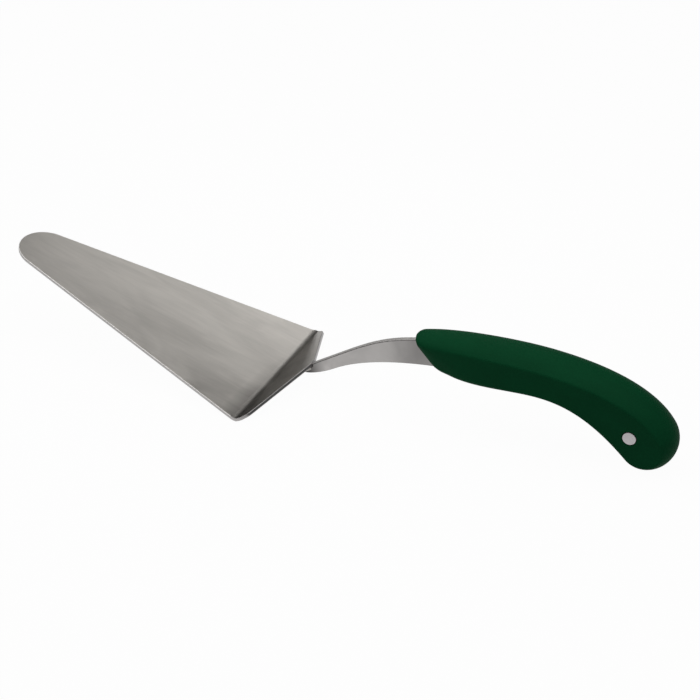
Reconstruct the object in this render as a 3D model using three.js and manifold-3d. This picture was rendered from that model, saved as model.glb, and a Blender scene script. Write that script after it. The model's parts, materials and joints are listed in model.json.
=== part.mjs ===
// Pizza server: a folded steel blade welded to a flat bar, with a soft grip riveted over the bar's tang.
// Millimetres, +Z up. It lies as it rests on a table, tipped back on its fold and on the end of its grip.
// The pieces are drawn in the blade's frame: the fold line at the origin, the tip at -X, the grip at +X,
// the serving face at Z 0 and the left edge at +Y. A side view gives X and Z.

import * as THREE from 'three';
import { mergeVertices } from 'three/addons/utils/BufferGeometryUtils.js';
import Module from 'manifold-3d';

// Blade: flat from the tip to the fold, then a flange that rises to a narrow neck
const SHEET = 1.5;
const BLADE_LENGTH = 140.5;
const BLADE_WIDTH = 84.9;
const TIP_RADIUS = 14.4;
const BEND_RADIUS = 6;
const FLANGE_ANGLE = 49.5;
const FLANGE_HEIGHT = 21.1;
const SHOULDER_HEIGHT = 5.6;
const SHOULDER_INSET = 3;
const SHOULDER_RADIUS = 1.8;
const NECK_MARGIN = 0.5;

// Bar: one flat blank, welded under the flange by its toe, with its tang inside the grip.
// A pull is how far a curve keeps to the direction that it has at that end.
const BAR_THICKNESS = 3;
const BAR_DROP = 0.6;
const TOE_LAP = 7.6;
const TOE_START_PULL = 5.6;
const TOE_END_PULL = 1.4;
const HEEL_SETBACK = 9.8;
const SHANK_DEPTH = 5.5;
const SHANK_UNDER_START_PULL = 24;
const SHANK_UNDER_END_PULL = 19;
const SHANK_TOP_START_PULL = 37.4;
const SHANK_TOP_END_PULL = 47;
const TANG_HEIGHT = 13;
const TANG_START = 27.4;
const TANG_PULL = 26;
const TANG_EYE_WALL = 2.7;
const TANG_END_SLOPE = -22;

// Weld fillets between the bar's sides and the back of the flange
const WELD_LEG = 1.4;
const WELD_TOE_GAP = 1.7;
const WELD_NECK_GAP = 0.7;

// Grip in the side view: a back curve and a belly curve that run into a round end.
// It starts at a reach and a rise from the neck, and the rest is measured from that start.
const SHANK_REACH = 38.2;
const SHANK_RISE = 42.3;
const BACK_SLOPE = 29.5;
const BACK_START_PULL = 24;
const BACK_END_PULL = 37.5;
const BACK_END_ANGLE = 51.5;
const BELLY_SETBACK = 18.3;
const BELLY_DROP = 11;
const BELLY_SLOPE = 7;
const BELLY_START_PULL = 38.2;
const BELLY_END_PULL = 47;
const BELLY_END_ANGLE = -117;
const LOBE_REACH = 112;
const LOBE_RISE = 7.7;
const LOBE_RADIUS = 13.1;

// Grip across: its sections have a round crown that meets the flat sides in ridges, and it narrows to its nose
const GRIP_WIDTH = 22;
const GRIP_CROWN = 4;
const CROWN_SPAN = 40;
const NOSE_WALL = 2.7;
const NOSE_TAPER = 55;
const NOSE_ROUND = 3;
const NOSE_SIDE_ROUND = 1;
const SKIN_WALL = 2.2;
const FRONT_WALL = 6;

// Rivet in two halves, a stud pressed into a socket
const RIVET_SETBACK = 7.4;
const RIVET_TUBE = 5;
const RIVET_TUBE_WALL = 0.7;
const RIVET_LIP = 0.5;
const RIVET_OVERLAP = 9;

// Pegs on one core half, through the tang and into the other half, placed along the grip from its start
const PEG_DIAMETER = 4;
const PEG_REACH = 4;
const FRONT_PEG = 46;
const BACK_PEG = 72.4;

// Clearance between pieces that touch
const FIT = 0.3;

// Fineness of curves, and the most of a section's half height that its crown may take
const CURVE_STEPS = 16;
const CROWN_STEPS = 8;
const LOBE_STEPS = 6;
const NOSE_STEPS = 3;
const WELD_STEPS = 6;
const ROUND_SIDES = 24;
const CROWN_LIMIT = 0.98;

const STEEL = { color: 0xa6a5a3, roughness: 0.34, metalness: 1 };
const WELD_STEEL = { color: 0x8f8e8c, roughness: 0.45, metalness: 1 };
const RIVET_STEEL = { color: 0xc4c3c2, roughness: 0.3, metalness: 1 };
const CORE_PLASTIC = { color: 0x1d2b24, roughness: 0.6, metalness: 0 };
const SOFT_PLASTIC = { color: 0x0b3d25, roughness: 0.75, metalness: 0 };

const wasm = await Module();
wasm.setup();

const radians = THREE.MathUtils.degToRad;
const lerp = THREE.MathUtils.lerp;
const theta = radians(FLANGE_ANGLE);
const crownSpan = radians(CROWN_SPAN);
const upFlange = heading(theta);
const offFlange = leftOf(upFlange);
const bendCentre = new THREE.Vector2(-BEND_RADIUS * Math.tan(theta / 2), BEND_RADIUS);
const toeHeight = FLANGE_HEIGHT - TOE_LAP;
const gripStart = onFlange(FLANGE_HEIGHT, 0).add(new THREE.Vector2(SHANK_REACH, SHANK_RISE));
const bellyStart = gripStart.clone().add(new THREE.Vector2(BELLY_SETBACK, -BELLY_DROP));
const lobe = gripStart.clone().add(new THREE.Vector2(LOBE_REACH, LOBE_RISE));
const gripHalfWidth = GRIP_WIDTH / 2;
const noseHalfWidth = BAR_THICKNESS / 2 + FIT + NOSE_WALL;
const tangEnd = heading(radians(TANG_END_SLOPE));
const rivet = lobe.clone().addScaledVector(tangEnd, -RIVET_SETBACK);
const tubeRadius = RIVET_TUBE / 2;
const headRadius = tubeRadius + RIVET_LIP;
const tubeBore = tubeRadius - RIVET_TUBE_WALL;
const pinRadius = tubeBore - FIT;

// A length that reaches past every edge of the server
const beyond = BLADE_LENGTH + BLADE_WIDTH + FLANGE_HEIGHT + SHANK_REACH + LOBE_REACH + LOBE_RADIUS;

// Unit vector at an angle in the side view
function heading(angle) {
  return new THREE.Vector2(Math.cos(angle), Math.sin(angle));
}

// Left-hand normal of a direction in the side view
function leftOf(direction) {
  return new THREE.Vector2(-direction.y, direction.x);
}

// Point given by its distance up the flange and its height off the flange's front face
function onFlange(up, off) {
  return new THREE.Vector2().addScaledVector(upFlange, up).addScaledVector(offFlange, off);
}

// Smooth edge between two points that leaves and arrives along given directions
function smoothEdge(start, startDirection, startPull, end, endDirection, endPull) {
  const leave = start.clone().addScaledVector(startDirection, startPull);
  const arrive = end.clone().addScaledVector(endDirection, -endPull);
  return new THREE.CubicBezierCurve(start, leave, arrive, end);
}

// Closed mesh to solid, with shared corners merged
function solid(geometry) {
  const bare = new THREE.BufferGeometry();
  bare.setAttribute('position', geometry.getAttribute('position'));
  bare.setIndex(geometry.getIndex());
  const merged = mergeVertices(bare);
  const vertProperties = new Float32Array(merged.getAttribute('position').array);
  const triVerts = new Uint32Array(merged.getIndex().array);
  return new wasm.Manifold(new wasm.Mesh({ numProp: 3, vertProperties, triVerts }));
}

// Solid back to a mesh geometry
function geometryOf(body) {
  const mesh = body.getMesh();
  const geometry = new THREE.BufferGeometry();
  geometry.setAttribute('position', new THREE.BufferAttribute(mesh.vertProperties, 3));
  geometry.setIndex(new THREE.BufferAttribute(mesh.triVerts, 1));
  geometry.computeVertexNormals();
  return geometry;
}

// Shape in a plane, extruded to a depth and centred on that plane
function slab(shape, depth, curveSegments) {
  const geometry = new THREE.ExtrudeGeometry(shape, { depth, bevelEnabled: false, curveSegments });
  geometry.translate(0, 0, -depth / 2);
  return geometry;
}

// Side-view shape, extruded across the server and centred on its middle plane
function acrossPrism(shape, width) {
  return solid(slab(shape, width, CURVE_STEPS).rotateX(Math.PI / 2));
}

// Round bar across the server at a point of the side view, between two places across it
function acrossRod(place, radius, from, to) {
  const geometry = new THREE.CylinderGeometry(radius, radius, to - from, ROUND_SIDES);
  geometry.translate(place.x, (from + to) / 2, place.y);
  return solid(geometry);
}

// Round hole right through the server at a point of the side view
function throughHole(place, radius) {
  return acrossRod(place, radius, -GRIP_WIDTH, GRIP_WIDTH);
}

// Side view of the sheet: flat, bend and flange at one thickness
function sheetProfile() {
  const outerRadius = BEND_RADIUS + SHEET;
  const backEnd = onFlange(beyond, -SHEET);
  const frontEnd = onFlange(beyond, 0);
  const down = -Math.PI / 2;
  const shape = new THREE.Shape();
  shape.moveTo(-beyond, -SHEET);
  shape.lineTo(bendCentre.x, -SHEET);
  shape.absarc(bendCentre.x, bendCentre.y, outerRadius, down, theta + down, false);
  shape.lineTo(backEnd.x, backEnd.y);
  shape.lineTo(frontEnd.x, frontEnd.y);
  shape.absarc(bendCentre.x, bendCentre.y, BEND_RADIUS, theta + down, down, true);
  shape.lineTo(-beyond, 0);
  return shape;
}

// Plan of the flat: straight edges that leave the round tip at a tangent and pass the fold at full width
function bladePlan() {
  const halfWidth = BLADE_WIDTH / 2;
  const tipCentre = TIP_RADIUS - BLADE_LENGTH;
  const reach = Math.hypot(tipCentre, halfWidth);
  const taper = Math.atan2(halfWidth, -tipCentre) - Math.asin(TIP_RADIUS / reach);
  const wide = halfWidth + beyond * Math.tan(taper);
  const tangentAngle = Math.PI / 2 + taper;
  const shape = new THREE.Shape();
  shape.absarc(tipCentre, 0, TIP_RADIUS, -tangentAngle, tangentAngle, true);
  shape.lineTo(beyond, wide);
  shape.lineTo(beyond, -wide);
  return shape;
}

// Outline of the flange in its own plane, wide open below the fold so that it leaves the flat alone
function flangePlan() {
  const fold = new THREE.Vector2(0, BLADE_WIDTH / 2);
  const shoulder = new THREE.Vector2(SHOULDER_HEIGHT, BLADE_WIDTH / 2 - SHOULDER_INSET);
  const neck = new THREE.Vector2(FLANGE_HEIGHT, BAR_THICKNESS / 2 + NECK_MARGIN);
  const sideIn = shoulder.clone().sub(fold).normalize();
  const backIn = neck.clone().sub(shoulder).normalize();
  const open = fold.clone().addScaledVector(sideIn, -SHOULDER_HEIGHT - BEND_RADIUS);
  const turn = Math.acos(sideIn.dot(backIn));
  const cut = SHOULDER_RADIUS * Math.tan(turn / 2);
  const before = shoulder.clone().addScaledVector(sideIn, -cut);
  const after = shoulder.clone().addScaledVector(backIn, cut);
  const shape = new THREE.Shape();
  shape.moveTo(-beyond, beyond);
  shape.lineTo(-beyond, -beyond);
  shape.lineTo(open.x, -beyond);
  shape.lineTo(open.x, -open.y);
  shape.lineTo(before.x, -before.y);
  shape.quadraticCurveTo(shoulder.x, -shoulder.y, after.x, -after.y);
  shape.lineTo(neck.x, -neck.y);
  shape.lineTo(neck.x, neck.y);
  shape.lineTo(after.x, after.y);
  shape.quadraticCurveTo(shoulder.x, shoulder.y, before.x, before.y);
  shape.lineTo(open.x, open.y);
  shape.lineTo(open.x, beyond);
  return shape;
}

// The sheet's strip, trimmed from above to the blade's plan and square to the flange to the flange's outline
function bladeSolid() {
  const strip = acrossPrism(sheetProfile(), 2 * beyond);
  const plan = slab(bladePlan(), 2 * beyond, CURVE_STEPS / 2);
  const flange = slab(flangePlan(), 2 * beyond, CURVE_STEPS / 2).rotateY(-theta);
  return strip.intersect(solid(plan)).intersect(solid(flange));
}

// Point of the grip's round end at an angle in degrees, drawn in by an inset
function lobePoint(degrees, inset) {
  return lobe.clone().addScaledVector(heading(radians(degrees)), LOBE_RADIUS - inset);
}

// Direction along the grip's round end at an angle in degrees, anticlockwise
function lobeTangent(degrees) {
  return leftOf(heading(radians(degrees)));
}

// Back and belly of the grip in the side view, each ending at a tangent to the round end
const back = smoothEdge(
  gripStart, heading(radians(BACK_SLOPE)), BACK_START_PULL,
  lobePoint(BACK_END_ANGLE, 0), lobeTangent(BACK_END_ANGLE).negate(), BACK_END_PULL,
);
const belly = smoothEdge(
  bellyStart, heading(radians(BELLY_SLOPE)), BELLY_START_PULL,
  lobePoint(BELLY_END_ANGLE, 0), lobeTangent(BELLY_END_ANGLE), BELLY_END_PULL,
);
const bodyLength = (back.getLength() + belly.getLength()) / 2;

// Quarter-round growth from 0 to 1
function swell(share) {
  return Math.sqrt(1 - (1 - Math.min(share, 1)) ** 2);
}

// Share of the grip's width at a share of its crown's depth
function crownWidth(share) {
  return Math.sin(Math.acos(1 - Math.min(share, 1) * (1 - Math.cos(crownSpan)))) / Math.sin(crownSpan);
}

// Cross-section of the grip at a distance from its start, moved in from the outside by an inset
function bodyStation(distance, inset) {
  const share = Math.min(distance / bodyLength, 1);
  const top = back.getPointAt(share).addScaledVector(leftOf(back.getTangentAt(share)), -inset);
  const bottom = belly.getPointAt(share).addScaledVector(leftOf(belly.getTangentAt(share)), inset);
  const halfWidth = lerp(noseHalfWidth, gripHalfWidth, swell(distance / NOSE_TAPER)) - inset;
  return { top, bottom, halfWidth };
}

// Cross-sections round the end of the grip, between the two tangents and the last point
function lobeStations(inset) {
  const middle = (BACK_END_ANGLE + BELLY_END_ANGLE) / 2;
  const end = lobePoint(middle, inset);
  const stations = [];
  for (let step = 1; step < LOBE_STEPS; step++) {
    const share = step / LOBE_STEPS;
    const top = lobePoint(lerp(BACK_END_ANGLE, middle, share), inset);
    const bottom = lobePoint(lerp(BELLY_END_ANGLE, middle, share), inset);
    const depth = top.clone().lerp(bottom, 0.5).distanceTo(end);
    const halfWidth = (gripHalfWidth - inset) * crownWidth(depth / GRIP_CROWN);
    stations.push({ top, bottom, halfWidth });
  }
  return { stations, end };
}

// Ring of points: flat sides with an arched crown above and below, drawn in by a share of the rounding
function sectionRing({ top, bottom, halfWidth }, round = 0) {
  const middle = top.clone().lerp(bottom, 0.5);
  const up = top.clone().sub(bottom).normalize();
  const halfHeight = top.distanceTo(bottom) / 2 - round * NOSE_ROUND;
  const width = halfWidth - round * NOSE_SIDE_ROUND;
  const crown = Math.min(GRIP_CROWN, CROWN_LIMIT * halfHeight);
  const ring = [];
  for (const side of [1, -1]) {
    for (let step = 0; step <= CROWN_STEPS; step++) {
      const turn = crownSpan * (1 - 2 * step / CROWN_STEPS);
      const drop = crown * (1 - Math.cos(turn)) / (1 - Math.cos(crownSpan));
      const point = middle.clone().addScaledVector(up, side * (halfHeight - drop));
      ring.push(new THREE.Vector3(point.x, side * width * Math.sin(turn) / Math.sin(crownSpan), point.y));
    }
  }
  return ring;
}

// Closed mesh over a row of rings, with one point at each end
function loft(first, rings, last) {
  const sides = rings[0].length;
  const points = [first, ...rings.flat(), last];
  const lastIndex = points.length - 1;
  const at = (ring, side) => 1 + ring * sides + side % sides;
  const index = [];
  for (let side = 0; side < sides; side++) {
    index.push(0, at(0, side + 1), at(0, side));
    index.push(lastIndex, at(rings.length - 1, side), at(rings.length - 1, side + 1));
    for (let ring = 0; ring + 1 < rings.length; ring++) {
      index.push(at(ring, side), at(ring, side + 1), at(ring + 1, side));
      index.push(at(ring, side + 1), at(ring + 1, side + 1), at(ring + 1, side));
    }
  }
  const geometry = new THREE.BufferGeometry().setFromPoints(points);
  geometry.setIndex(index);
  return geometry;
}

// Solid of the grip's form from a distance behind its start, drawn in by an inset, after any rings of a nose
function gripSolid(start, inset, noseRings = []) {
  const rings = [...noseRings];
  for (let step = 0; step <= CURVE_STEPS; step++) {
    rings.push(sectionRing(bodyStation(lerp(start, bodyLength, step / CURVE_STEPS), inset)));
  }
  const { stations, end } = lobeStations(inset);
  rings.push(...stations.map((station) => sectionRing(station)));
  const first = new THREE.Vector3();
  rings[0].forEach((point) => first.addScaledVector(point, 1 / rings[0].length));
  return solid(loft(first, rings, new THREE.Vector3(end.x, 0, end.y)));
}

// Outside of the grip, with its nose rounded
function gripOutside() {
  const noseRings = [];
  for (let step = 0; step < NOSE_STEPS; step++) {
    const angle = Math.PI / 2 * step / NOSE_STEPS;
    const distance = NOSE_ROUND * (1 - Math.cos(angle));
    noseRings.push(sectionRing(bodyStation(distance, 0), 1 - Math.sin(angle)));
  }
  return gripSolid(NOSE_ROUND, 0, noseRings);
}

// Middle of the grip at a distance from its start
function gripMiddle(distance) {
  const { top, bottom } = bodyStation(distance, 0);
  return top.lerp(bottom, 0.5);
}

// Bar in the side view, grown by a clearance where it is used to cut a slot for itself
function barShape(grow) {
  const tangPlace = gripMiddle(TANG_START);
  const tangAlong = gripMiddle(TANG_START + 1).sub(gripMiddle(TANG_START - 1)).normalize();
  const tangUp = leftOf(tangAlong);
  const endUp = leftOf(tangEnd);
  const halfTang = TANG_HEIGHT / 2 + grow;
  const endRadius = tubeRadius + FIT + TANG_EYE_WALL + grow;
  const underSheet = grow - SHEET - FIT;
  const toe = onFlange(toeHeight, underSheet);
  const heel = onFlange(FLANGE_HEIGHT + HEEL_SETBACK, -BAR_DROP - SHANK_DEPTH - grow);
  const tangUnder = tangPlace.clone().addScaledVector(tangUp, -halfTang);
  const tangTop = tangPlace.clone().addScaledVector(tangUp, halfTang);
  const endUnder = rivet.clone().addScaledVector(endUp, -endRadius);
  const endTop = rivet.clone().addScaledVector(endUp, endRadius);
  const shankTop = onFlange(FLANGE_HEIGHT + FIT - grow, grow - BAR_DROP);
  const notch = onFlange(FLANGE_HEIGHT + FIT - grow, underSheet);
  const level = new THREE.Vector2(1, 0);
  const backward = (direction) => direction.clone().negate();
  const outline = [
    smoothEdge(toe, level, TOE_START_PULL, heel, upFlange, TOE_END_PULL),
    smoothEdge(heel, upFlange, SHANK_UNDER_START_PULL, tangUnder, tangAlong, SHANK_UNDER_END_PULL),
    smoothEdge(tangUnder, tangAlong, TANG_PULL, endUnder, tangEnd, TANG_PULL),
    new THREE.EllipseCurve(
      rivet.x, rivet.y, endRadius, endRadius, radians(TANG_END_SLOPE - 90), radians(TANG_END_SLOPE + 90),
    ),
    smoothEdge(endTop, backward(tangEnd), TANG_PULL, tangTop, backward(tangAlong), TANG_PULL),
    smoothEdge(
      tangTop, backward(tangAlong), SHANK_TOP_END_PULL, shankTop, backward(upFlange), SHANK_TOP_START_PULL,
    ),
  ];
  const points = outline.flatMap((curve) => curve.getPoints(CURVE_STEPS).slice(0, -1));
  return new THREE.Shape([...points, shankTop, notch]);
}

const pegPlaces = [gripMiddle(FRONT_PEG), gripMiddle(BACK_PEG)];

function barSolid() {
  let bar = acrossPrism(barShape(0), BAR_THICKNESS);
  bar = bar.subtract(throughHole(rivet, tubeRadius + FIT));
  for (const place of pegPlaces) {
    bar = bar.subtract(throughHole(place, PEG_DIAMETER / 2 + FIT));
  }
  return bar;
}

// Slot that the bar passes through, with clearance all round
function barSlot() {
  return acrossPrism(barShape(FIT), BAR_THICKNESS + 2 * FIT);
}

// Soft skin, open where the bar goes in and where the rivet's heads show
function skinSolid() {
  const hollow = gripSolid(FRONT_WALL, SKIN_WALL);
  return gripOutside().subtract(hollow).subtract(barSlot()).subtract(throughHole(rivet, headRadius + FIT));
}

// One half of the hard core, side 1 to the left of the middle plane and side -1 to its right
function coreSolid(side) {
  const half = new THREE.BoxGeometry(2 * beyond, GRIP_WIDTH, 2 * beyond);
  half.translate(0, side * (GRIP_WIDTH + FIT) / 2, 0);
  const form = gripSolid(FRONT_WALL + FIT, SKIN_WALL + FIT);
  return form.intersect(solid(half)).subtract(barSlot()).subtract(throughHole(rivet, tubeRadius + FIT));
}

// The left half carries the pegs, and the right half has their sockets
function coreLeftSolid() {
  let core = coreSolid(1);
  for (const place of pegPlaces) {
    core = core.add(acrossRod(place, PEG_DIAMETER / 2, -PEG_REACH, gripHalfWidth / 2));
  }
  return core;
}

function coreRightSolid() {
  let core = coreSolid(-1);
  for (const place of pegPlaces) {
    core = core.subtract(acrossRod(place, PEG_DIAMETER / 2 + FIT, -PEG_REACH - FIT, 0));
  }
  return core;
}

// Round piece about the rivet's axis, from a profile of radius and place across the server
function rivetPiece(profile) {
  const points = profile.map(([radius, across]) => new THREE.Vector2(radius, across));
  const geometry = new THREE.LatheGeometry(points, ROUND_SIDES);
  geometry.translate(rivet.x, 0, rivet.y);
  return solid(geometry);
}

const headSeat = gripHalfWidth - SKIN_WALL;
const pinEnd = RIVET_OVERLAP / 2;

function rivetStudSolid() {
  return rivetPiece([
    [0, -gripHalfWidth], [headRadius, -gripHalfWidth], [headRadius, -headSeat],
    [pinRadius, -headSeat], [pinRadius, pinEnd], [0, pinEnd],
  ]);
}

function rivetSocketSolid() {
  return rivetPiece([
    [0, pinEnd + FIT], [tubeBore, pinEnd + FIT], [tubeBore, -pinEnd], [tubeRadius, -pinEnd],
    [tubeRadius, headSeat], [headRadius, headSeat], [headRadius, gripHalfWidth], [0, gripHalfWidth],
  ]);
}

// Hollow fillet along the bar behind the flange, side 1 to the left of the bar and side -1 to its right
function weldSolid(side) {
  const shape = new THREE.Shape();
  shape.moveTo(0, 0);
  shape.lineTo(WELD_LEG, 0);
  shape.quadraticCurveTo(WELD_LEG / 4, WELD_LEG / 4, 0, WELD_LEG);
  const start = toeHeight + WELD_TOE_GAP;
  const depth = FLANGE_HEIGHT - WELD_NECK_GAP - start;
  const settings = { depth, bevelEnabled: false, curveSegments: WELD_STEPS };
  const geometry = new THREE.ExtrudeGeometry(shape, settings);
  const sideways = new THREE.Vector3(0, side, 0);
  const behind = new THREE.Vector3(-offFlange.x, 0, -offFlange.y);
  const along = new THREE.Vector3(upFlange.x, 0, upFlange.y);
  const basis = side > 0 ? [behind, sideways, along] : [sideways, behind, along];
  geometry.applyMatrix4(new THREE.Matrix4().makeBasis(...basis));
  const place = onFlange(start, -SHEET - FIT);
  geometry.translate(place.x, side * (BAR_THICKNESS / 2 + FIT), place.y);
  return solid(geometry);
}

function piece(name, body, finish) {
  const mesh = new THREE.Mesh(geometryOf(body), new THREE.MeshStandardMaterial(finish));
  mesh.name = name;
  return mesh;
}

// Angle of the table under the fold and the round end of the grip
function restTilt() {
  const span = lobe.clone().sub(bendCentre);
  return span.angle() - Math.asin((LOBE_RADIUS - BEND_RADIUS - SHEET) / span.length());
}

const server = new THREE.Group();
server.add(piece('blade', bladeSolid(), STEEL));
server.add(piece('tang_bar', barSolid(), STEEL));
server.add(piece('weld_bead_left', weldSolid(1), WELD_STEEL));
server.add(piece('weld_bead_right', weldSolid(-1), WELD_STEEL));
server.add(piece('grip_core_left', coreLeftSolid(), CORE_PLASTIC));
server.add(piece('grip_core_right', coreRightSolid(), CORE_PLASTIC));
server.add(piece('grip_skin', skinSolid(), SOFT_PLASTIC));
server.add(piece('rivet_stud', rivetStudSolid(), RIVET_STEEL));
server.add(piece('rivet_socket', rivetSocketSolid(), RIVET_STEEL));

// Laid on the table: turned to the rest angle, then centred over the origin with its lowest point at Z 0
server.rotation.y = restTilt();
const box = new THREE.Box3().setFromObject(server, true);
const centre = box.getCenter(new THREE.Vector3());
server.position.set(-centre.x, -centre.y, -box.min.z);

const part = new THREE.Group();
part.add(server);

export default part;
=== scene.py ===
# Dresses the CAD frame of a pizza server: satin steel blade and bar, welds, soft green grip and rivet.

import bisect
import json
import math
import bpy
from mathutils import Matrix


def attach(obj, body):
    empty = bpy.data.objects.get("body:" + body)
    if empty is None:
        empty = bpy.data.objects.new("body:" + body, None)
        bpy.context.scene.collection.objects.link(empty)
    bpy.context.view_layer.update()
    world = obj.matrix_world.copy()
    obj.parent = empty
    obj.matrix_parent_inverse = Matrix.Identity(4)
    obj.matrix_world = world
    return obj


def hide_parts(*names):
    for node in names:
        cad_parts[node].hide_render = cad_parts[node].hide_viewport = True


bl_info = {
    "name": "Pizza Server Dressing",
    "version": (1, 0, 0),
    "blender": (4, 5, 0),
    "location": "3D View > Sidebar > Server",
    "description": "Shapes and finishes a steel pizza server with a soft grip over its CAD frame",
    "category": "Object",
}

from types import SimpleNamespace

import bmesh
import bpy
from bpy.props import FloatProperty, FloatVectorProperty, PointerProperty
from mathutils import Matrix, Vector
from mathutils.geometry import interpolate_bezier

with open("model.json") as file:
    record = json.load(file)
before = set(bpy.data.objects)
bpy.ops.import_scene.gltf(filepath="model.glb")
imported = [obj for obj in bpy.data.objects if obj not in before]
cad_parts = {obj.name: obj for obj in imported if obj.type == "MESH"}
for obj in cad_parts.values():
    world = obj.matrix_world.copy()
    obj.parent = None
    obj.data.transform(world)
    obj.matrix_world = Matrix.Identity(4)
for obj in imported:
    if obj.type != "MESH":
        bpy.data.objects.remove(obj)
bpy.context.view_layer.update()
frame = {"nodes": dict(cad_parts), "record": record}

MM = 0.001
BODY = "root"

# The record's point on the serving face lies this far in front of the fold line
FACE_POINT_SETBACK = 60 * MM

# Steps of the curves
RAIL_STEPS = 240
BEND_STEPS = 12
TIP_STEPS = 40
CORNER_STEPS = 5
BODY_STEPS = 72
LOBE_STEPS = 24
NOSE_STEPS = 6
CROWN_STEPS = 10
SIDE_STEPS = 8
ROUND_STEPS = 64
WELD_STEPS = 40
WELD_ARC_STEPS = 6
OUTLINE_STEPS = 24
EDGE_STEPS = 3
RIDGE_STEPS = 4
HOLE_STEPS = 2

# Corners of a grip's cross-section where its ridges run
RIDGE_CORNERS = (CROWN_STEPS, CROWN_STEPS + SIDE_STEPS, -CROWN_STEPS - SIDE_STEPS, -CROWN_STEPS)

# Left and right of the middle plane
HANDS = (1, -1)

# Places in the bar's outline that its finish and the grip's opening need
TOE, HEEL, TANG_UNDER, TANG_TOP, SHANK_TOP = 0, 1, 2, 6, 7

# Distance under which two corners count as one, and angle above which an edge counts as sharp
SAME_PLACE = 1e-6
SHARP = math.radians(60)

# Pull of a quarter circle's curve, as a share of its radius
QUARTER_PULL = 0.5523

# Share of the grip's height that one crown may take
CROWN_LIMIT = 0.48

# How far the faces of the blade's rim turn sideways, and those of its upper corner turn up, at least; the
# upper corner carries a painted highlight
RIM_LEAN = 0.05
CORNER_LIFT = 0.2

# How far the faces of the bar's edges turn sideways at most, and those of its flat sides at least
BAR_EDGE_LEAN = 0.2
BAR_SIDE_LEAN = 0.97

# Scales of the patterns in the steel along, across and off the blade, per metre
BLADE_STREAKS = (38, 600, 600)
BLADE_CLOUDS = (28, 80, 80)
BAR_STREAKS = (120, 800, 120)
BAR_CLOUDS = (70, 70, 45)
GROUND_LINES = (2600, 2600, 300)

# The same for the handling marks on the grip and the flow pattern in its core
HANDLING_MARKS = (45, 110, 110)
CORE_FLOW = (60, 300, 300)

# Levels of the noise between which the clouds in the steel fade
CLOUD_FADE = {"start": 0.36, "end": 0.64}

# How far the roughness of satin and ground steel strays to each side
SATIN_STRAY = 0.05
GROUND_STRAY = 0.04

# Reach of the patches of painted shade along, across and off the blade, where 0 leaves a direction out
FOLD_SHADE_REACH = (12 * MM, 66 * MM, 0)
TOE_SHADE_REACH = (14 * MM, 0, 14 * MM)
NOSE_SHADE_REACH = (22 * MM, 0, 30 * MM)


def length(label, millimetres, description):
    """A length, given in millimetres."""
    return FloatProperty(
        name=label, description=description, default=millimetres * MM, unit="LENGTH", precision=5
    )


def angle(label, degrees, description):
    """An angle, given in degrees."""
    return FloatProperty(
        name=label, description=description, default=math.radians(degrees), subtype="ANGLE"
    )


def share(label, value, description):
    """A plain number between 0 and 1."""
    return FloatProperty(
        name=label, description=description, default=value, min=0, max=1, subtype="FACTOR"
    )


def power(label, watts, description):
    """A light's strength in watts."""
    return FloatProperty(name=label, description=description, default=watts, min=0, unit="POWER")


def metres(label, values, description):
    """A place, or a width and a height, in metres."""
    return FloatVectorProperty(
        name=label, description=description, default=values, size=len(values), subtype="XYZ", unit="LENGTH",
        precision=5,
    )


def tint(label, colour, description):
    """A colour as linear red, green and blue."""
    return FloatVectorProperty(
        name=label, description=description, default=colour, size=3, min=0, max=1, subtype="COLOR"
    )


class BladeSizes(bpy.types.PropertyGroup):
    """Sizes of the folded sheet."""

    sheet: length("Sheet", 1.5, "Thickness of the sheet")
    reach: length("Length", 140.5, "From the fold line to the tip")
    width: length("Width", 84.9, "Width at the fold line")
    tip_radius: length("Tip radius", 14.4, "Radius of the round tip")
    bend_radius: length("Bend radius", 6, "Inner radius of the bend at the fold")
    flange_angle: angle("Flange angle", 49.5, "Angle by which the flange rises from the flat")
    flange_height: length("Flange height", 21.1, "From the fold line to the neck, up the flange")
    shoulder_height: length("Shoulder height", 5.6, "From the fold line to the shoulders, up the flange")
    shoulder_inset: length("Shoulder inset", 3, "How far each shoulder lies in from the full width")
    shoulder_radius: length("Shoulder radius", 1.0, "Rounding of the shoulders")
    neck_width: length("Neck width", 4, "Width of the flange at the neck")
    rim_round: length("Rim rounding", 0.22, "Rounding of the sheet's edges")


class BarSizes(bpy.types.PropertyGroup):
    """Sizes of the flat bar between blade and grip."""

    thickness: length("Thickness", 3, "Thickness of the bar")
    edge_round: length("Edge rounding", 0.35, "Rounding of the bar's edges")
    gap: length("Gap", 0.1, "Clearance between the bar and what it meets")
    drop: length("Drop", 0.6, "How far the bar's top lies behind the flange's front face")
    toe_lap: length("Toe lap", 7.6, "How far the toe reaches down behind the flange")
    toe_start_pull: length("Toe pull", 5.6, "Pull of the toe's curve at its tip")
    toe_end_pull: length("Toe end pull", 1.4, "Pull of the toe's curve at the heel")
    heel_setback: length("Heel setback", 9.8, "From the neck to the end of the toe's curve")
    shank_depth: length("Shank depth", 5.5, "Height of the bar behind the neck")
    under_start_pull: length("Under start pull", 24, "Pull of the lower edge at the heel")
    under_end_pull: length("Under end pull", 19, "Pull of the lower edge at the tang")
    top_start_pull: length("Top start pull", 37.4, "Pull of the upper edge at the neck")
    top_end_pull: length("Top end pull", 47, "Pull of the upper edge at the tang")
    tang_height: length("Tang height", 13, "Height of the bar inside the grip")
    tang_start: length("Tang start", 27.4, "Where the tang has its full height, from the grip's start")
    tang_pull: length("Tang pull", 26, "Pull of the tang's edges")
    eye_wall: length("Eye wall", 2.7, "Metal round the rivet's hole")
    peg_diameter: length("Peg diameter", 4, "Diameter of the core's pegs")
    front_peg: length("Front peg", 46, "Place of the front peg, from the grip's start")
    back_peg: length("Back peg", 72.4, "Place of the back peg, from the grip's start")


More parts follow.
